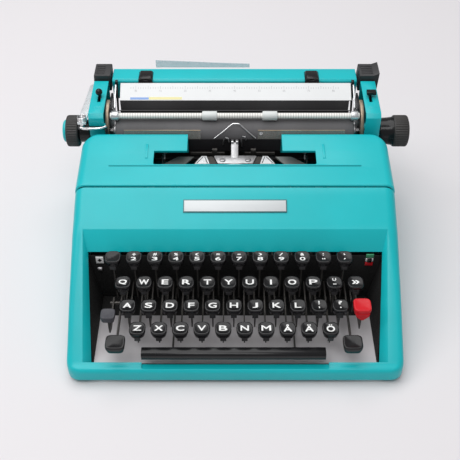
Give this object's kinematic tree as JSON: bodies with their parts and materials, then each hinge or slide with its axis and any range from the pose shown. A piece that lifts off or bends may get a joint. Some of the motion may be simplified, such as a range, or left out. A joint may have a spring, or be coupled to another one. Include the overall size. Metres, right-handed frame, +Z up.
{
  "type": "manual typewriter",
  "caption": "Portable manual typewriter: sloped body shell with a keyboard well, key levers on a common rod, lift-up ribbon cover, type basket and a sliding carriage with platen and paper bail.",
  "frame": {"origin": "centre of the overall box in plan, at the table surface the rubber feet stand on", "axes": "+X to the typist's right, +Y away from the typist towards the paper table, +Z up"},
  "size_m": [0.348, 0.31, 0.1416],
  "materials": {
    "turquoise_enamel": "glossy turquoise",
    "black_plastic": "satin black",
    "red_plastic": "glossy red",
    "grey_plastic": "fine texture warm grey",
    "dark_steel": "dark phosphated",
    "bright_steel": "nickel plated",
    "black_rubber": "matt",
    "white_enamel": "satin white"
  },
  "bodies": {
    "chassis": {"body_housing": "turquoise_enamel", "base_pan": "dark_steel", "keyboard_deck": "grey_plastic", "foot_front_left": "black_rubber", "foot_front_right": "black_rubber", "foot_rear_left": "black_rubber", "foot_rear_right": "black_rubber", "type_segment": "bright_steel", "typebar_basket": "bright_steel", "key_fulcrum": "dark_steel", "carriage_rail": "bright_steel"},
    "cover": {"ribbon_cover": "turquoise_enamel"},
    "carriage": {"carriage_frame": "dark_steel", "end_cover_left": "turquoise_enamel", "end_cover_right": "turquoise_enamel", "paper_table": "white_enamel", "carriage_rear_bar": "turquoise_enamel"},
    "platen_roller": {"platen": "black_rubber", "platen_knob_left": "black_plastic", "platen_knob_right": "black_plastic"},
    "bail": {"paper_bail": "bright_steel"},
    "return_arm": {"return_lever": "bright_steel"},
    "release_left": {"carriage_release_left": "black_plastic"},
    "release_right": {"carriage_release_right": "black_plastic"},
    "paper_release": {"paper_release_lever": "black_plastic"},
    "line_space": {"line_space_lever": "black_plastic"},
    "stop_left": {"margin_stop_left": "black_plastic"},
    "stop_right": {"margin_stop_right": "black_plastic"},
    "spool_left": {"ribbon_spool_left": "dark_steel"},
    "spool_right": {"ribbon_spool_right": "dark_steel"},
    "shift": {"shift_keys": "black_plastic"},
    "shift_lock": {"shift_lock_key": "black_plastic"},
    "space": {"space_bar": "black_plastic"},
    "number_row": {"number_row_keys": "black_plastic"},
    "bottom_row": {"bottom_row_keys": "black_plastic"},
    "margin": {"margin_key": "black_plastic"},
    "backspace": {"backspace_key": "black_plastic"},
    "tabulator": {"tabulator_key": "red_plastic"},
    "letter_q": {"key_q": "black_plastic"},
    "letter_w": {"key_w": "black_plastic"},
    "letter_e": {"key_e": "black_plastic"},
    "letter_r": {"key_r": "black_plastic"},
    "letter_t": {"key_t": "black_plastic"},
    "letter_y": {"key_y": "black_plastic"},
    "letter_u": {"key_u": "black_plastic"},
    "letter_i": {"key_i": "black_plastic"},
    "letter_o": {"key_o": "black_plastic"},
    "letter_p": {"key_p": "black_plastic"},
    "letter_accent": {"key_accent": "black_plastic"},
    "letter_a": {"key_a": "black_plastic"},
    "letter_s": {"key_s": "black_plastic"},
    "letter_d": {"key_d": "black_plastic"},
    "letter_f": {"key_f": "black_plastic"},
    "letter_g": {"key_g": "black_plastic"},
    "letter_h": {"key_h": "black_plastic"},
    "letter_j": {"key_j": "black_plastic"},
    "letter_k": {"key_k": "black_plastic"},
    "letter_l": {"key_l": "black_plastic"},
    "letter_exclamation": {"key_exclamation": "black_plastic"},
    "letter_question": {"key_question": "black_plastic"}
  },
  "joints": [
    {"name": "carriage_slide", "type": "slide", "parent": "chassis", "child": "carriage", "axis": [1, 0, 0], "range_m": [-0.1, 0.1]},
    {"name": "cover_hinge", "type": "hinge", "parent": "chassis", "child": "cover", "pos_m": [0, -0.008, 0.107], "axis": [1, 0, 0], "range_deg": [0, 75]},
    {"name": "bail_lift", "type": "hinge", "parent": "carriage", "child": "bail", "pos_m": [0, 0.106, 0.112], "axis": [-1, 0, 0], "range_deg": [0, 35]},
    {"name": "feed_platen", "type": "hinge", "parent": "carriage", "child": "platen_roller", "pos_m": [0, 0.084, 0.1015], "axis": [1, 0, 0], "continuous": true},
    {"name": "lever_return", "type": "hinge", "parent": "carriage", "child": "return_arm", "pos_m": [-0.151, 0.0696, 0.12], "axis": [0, 0, 1], "range_deg": [0, 110]},
    {"name": "lever_release_left", "type": "hinge", "parent": "carriage", "child": "release_left", "pos_m": [-0.1375, 0.151, 0.121], "axis": [1, 0, 0], "range_deg": [0, 5], "stiffness_Nm_per_rad": 0.3, "springref_deg": -14.32},
    {"name": "lever_release_right", "type": "hinge", "parent": "carriage", "child": "release_right", "pos_m": [0.1385, 0.151, 0.121], "axis": [1, 0, 0], "range_deg": [0, 5], "stiffness_Nm_per_rad": 0.3, "springref_deg": -14.32},
    {"name": "lever_paper_release", "type": "hinge", "parent": "carriage", "child": "paper_release", "pos_m": [0.137, 0.101, 0.11], "axis": [1, 0, 0], "range_deg": [0, 15]},
    {"name": "lever_line_space", "type": "hinge", "parent": "carriage", "child": "line_space", "pos_m": [-0.1365, 0.1, 0.11], "axis": [1, 0, 0], "range_deg": [-12, 12]},
    {"name": "margin_stop_left_slide", "type": "slide", "parent": "carriage", "child": "stop_left", "axis": [1, 0, 0], "range_m": [-0.018, 0.07]},
    {"name": "margin_stop_right_slide", "type": "slide", "parent": "carriage", "child": "stop_right", "axis": [1, 0, 0], "range_m": [-0.07, 0.03]},
    {"name": "press_space", "type": "hinge", "parent": "chassis", "child": "space", "pos_m": [0, 0.05, 0.044], "axis": [1, 0, 0], "range_deg": [0, 2.2], "stiffness_Nm_per_rad": 0.6, "springref_deg": -14.32},
    {"name": "press_shift", "type": "hinge", "parent": "chassis", "child": "shift", "pos_m": [0, 0.05, 0.044], "axis": [1, 0, 0], "range_deg": [0, 3.4], "stiffness_Nm_per_rad": 0.6, "springref_deg": -14.32},
    {"name": "press_shift_lock", "type": "hinge", "parent": "shift", "child": "shift_lock", "pos_m": [-0.1131, -0.086, 0.03], "axis": [1, 0, 0], "range_deg": [0, 5], "stiffness_Nm_per_rad": 0.05, "springref_deg": -14.32},
    {"name": "press_number_row", "type": "hinge", "parent": "chassis", "child": "number_row", "pos_m": [0, 0.05, 0.044], "axis": [1, 0, 0], "range_deg": [0, 5.2], "stiffness_Nm_per_rad": 0.9, "springref_deg": -14.32},
    {"name": "press_bottom_row", "type": "hinge", "parent": "chassis", "child": "bottom_row", "pos_m": [0, 0.05, 0.044], "axis": [1, 0, 0], "range_deg": [0, 3.8], "stiffness_Nm_per_rad": 0.9, "springref_deg": -14.32},
    {"name": "press_margin", "type": "hinge", "parent": "chassis", "child": "margin", "pos_m": [0, 0.05, 0.044], "axis": [1, 0, 0], "range_deg": [0, 5.2], "stiffness_Nm_per_rad": 0.3, "springref_deg": -14.32},
    {"name": "press_backspace", "type": "hinge", "parent": "chassis", "child": "backspace", "pos_m": [0, 0.05, 0.044], "axis": [1, 0, 0], "range_deg": [0, 4.6], "stiffness_Nm_per_rad": 0.3, "springref_deg": -14.32},
    {"name": "press_tabulator", "type": "hinge", "parent": "chassis", "child": "tabulator", "pos_m": [0, 0.05, 0.044], "axis": [1, 0, 0], "range_deg": [0, 4.1], "stiffness_Nm_per_rad": 0.3, "springref_deg": -14.32},
    {"name": "press_letter_q", "type": "hinge", "parent": "chassis", "child": "letter_q", "pos_m": [0, 0.05, 0.044], "axis": [1, 0, 0], "range_deg": [0, 4.6], "stiffness_Nm_per_rad": 0.3, "springref_deg": -14.32},
    {"name": "press_letter_w", "type": "hinge", "parent": "chassis", "child": "letter_w", "pos_m": [0, 0.05, 0.044], "axis": [1, 0, 0], "range_deg": [0, 4.6], "stiffness_Nm_per_rad": 0.3, "springref_deg": -14.32},
    {"name": "press_letter_e", "type": "hinge", "parent": "chassis", "child": "letter_e", "pos_m": [0, 0.05, 0.044], "axis": [1, 0, 0], "range_deg": [0, 4.6], "stiffness_Nm_per_rad": 0.3, "springref_deg": -14.32},
    {"name": "press_letter_r", "type": "hinge", "parent": "chassis", "child": "letter_r", "pos_m": [0, 0.05, 0.044], "axis": [1, 0, 0], "range_deg": [0, 4.6], "stiffness_Nm_per_rad": 0.3, "springref_deg": -14.32},
    {"name": "press_letter_t", "type": "hinge", "parent": "chassis", "child": "letter_t", "pos_m": [0, 0.05, 0.044], "axis": [1, 0, 0], "range_deg": [0, 4.6], "stiffness_Nm_per_rad": 0.3, "springref_deg": -14.32},
    {"name": "press_letter_y", "type": "hinge", "parent": "chassis", "child": "letter_y", "pos_m": [0, 0.05, 0.044], "axis": [1, 0, 0], "range_deg": [0, 4.6], "stiffness_Nm_per_rad": 0.3, "springref_deg": -14.32},
    {"name": "press_letter_u", "type": "hinge", "parent": "chassis", "child": "letter_u", "pos_m": [0, 0.05, 0.044], "axis": [1, 0, 0], "range_deg": [0, 4.6], "stiffness_Nm_per_rad": 0.3, "springref_deg": -14.32},
    {"name": "press_letter_i", "type": "hinge", "parent": "chassis", "child": "letter_i", "pos_m": [0, 0.05, 0.044], "axis": [1, 0, 0], "range_deg": [0, 4.6], "stiffness_Nm_per_rad": 0.3, "springref_deg": -14.32},
    {"name": "press_letter_o", "type": "hinge", "parent": "chassis", "child": "letter_o", "pos_m": [0, 0.05, 0.044], "axis": [1, 0, 0], "range_deg": [0, 4.6], "stiffness_Nm_per_rad": 0.3, "springref_deg": -14.32},
    {"name": "press_letter_p", "type": "hinge", "parent": "chassis", "child": "letter_p", "pos_m": [0, 0.05, 0.044], "axis": [1, 0, 0], "range_deg": [0, 4.6], "stiffness_Nm_per_rad": 0.3, "springref_deg": -14.32},
    {"name": "press_letter_accent", "type": "hinge", "parent": "chassis", "child": "letter_accent", "pos_m": [0, 0.05, 0.044], "axis": [1, 0, 0], "range_deg": [0, 4.6], "stiffness_Nm_per_rad": 0.3, "springref_deg": -14.32},
    {"name": "press_letter_a", "type": "hinge", "parent": "chassis", "child": "letter_a", "pos_m": [0, 0.05, 0.044], "axis": [1, 0, 0], "range_deg": [0, 4.1], "stiffness_Nm_per_rad": 0.3, "springref_deg": -14.32},
    {"name": "press_letter_s", "type": "hinge", "parent": "chassis", "child": "letter_s", "pos_m": [0, 0.05, 0.044], "axis": [1, 0, 0], "range_deg": [0, 4.1], "stiffness_Nm_per_rad": 0.3, "springref_deg": -14.32},
    {"name": "press_letter_d", "type": "hinge", "parent": "chassis", "child": "letter_d", "pos_m": [0, 0.05, 0.044], "axis": [1, 0, 0], "range_deg": [0, 4.1], "stiffness_Nm_per_rad": 0.3, "springref_deg": -14.32},
    {"name": "press_letter_f", "type": "hinge", "parent": "chassis", "child": "letter_f", "pos_m": [0, 0.05, 0.044], "axis": [1, 0, 0], "range_deg": [0, 4.1], "stiffness_Nm_per_rad": 0.3, "springref_deg": -14.32},
    {"name": "press_letter_g", "type": "hinge", "parent": "chassis", "child": "letter_g", "pos_m": [0, 0.05, 0.044], "axis": [1, 0, 0], "range_deg": [0, 4.1], "stiffness_Nm_per_rad": 0.3, "springref_deg": -14.32},
    {"name": "press_letter_h", "type": "hinge", "parent": "chassis", "child": "letter_h", "pos_m": [0, 0.05, 0.044], "axis": [1, 0, 0], "range_deg": [0, 4.1], "stiffness_Nm_per_rad": 0.3, "springref_deg": -14.32},
    {"name": "press_letter_j", "type": "hinge", "parent": "chassis", "child": "letter_j", "pos_m": [0, 0.05, 0.044], "axis": [1, 0, 0], "range_deg": [0, 4.1], "stiffness_Nm_per_rad": 0.3, "springref_deg": -14.32},
    {"name": "press_letter_k", "type": "hinge", "parent": "chassis", "child": "letter_k", "pos_m": [0, 0.05, 0.044], "axis": [1, 0, 0], "range_deg": [0, 4.1], "stiffness_Nm_per_rad": 0.3, "springref_deg": -14.32},
    {"name": "press_letter_l", "type": "hinge", "parent": "chassis", "child": "letter_l", "pos_m": [0, 0.05, 0.044], "axis": [1, 0, 0], "range_deg": [0, 4.1], "stiffness_Nm_per_rad": 0.3, "springref_deg": -14.32},
    {"name": "press_letter_exclamation", "type": "hinge", "parent": "chassis", "child": "letter_exclamation", "pos_m": [0, 0.05, 0.044], "axis": [1, 0, 0], "range_deg": [0, 4.1], "stiffness_Nm_per_rad": 0.3, "springref_deg": -14.32},
    {"name": "press_letter_question", "type": "hinge", "parent": "chassis", "child": "letter_question", "pos_m": [0, 0.05, 0.044], "axis": [1, 0, 0], "range_deg": [0, 4.1], "stiffness_Nm_per_rad": 0.3, "springref_deg": -14.32},
    {"name": "spool_left_turn", "type": "hinge", "parent": "chassis", "child": "spool_left", "pos_m": [-0.102, 0.018, 0.093], "axis": [0, 0, 1], "continuous": true},
    {"name": "spool_right_turn", "type": "hinge", "parent": "chassis", "child": "spool_right", "pos_m": [0.102, 0.018, 0.093], "axis": [0, 0, 1], "continuous": true}
  ]
}
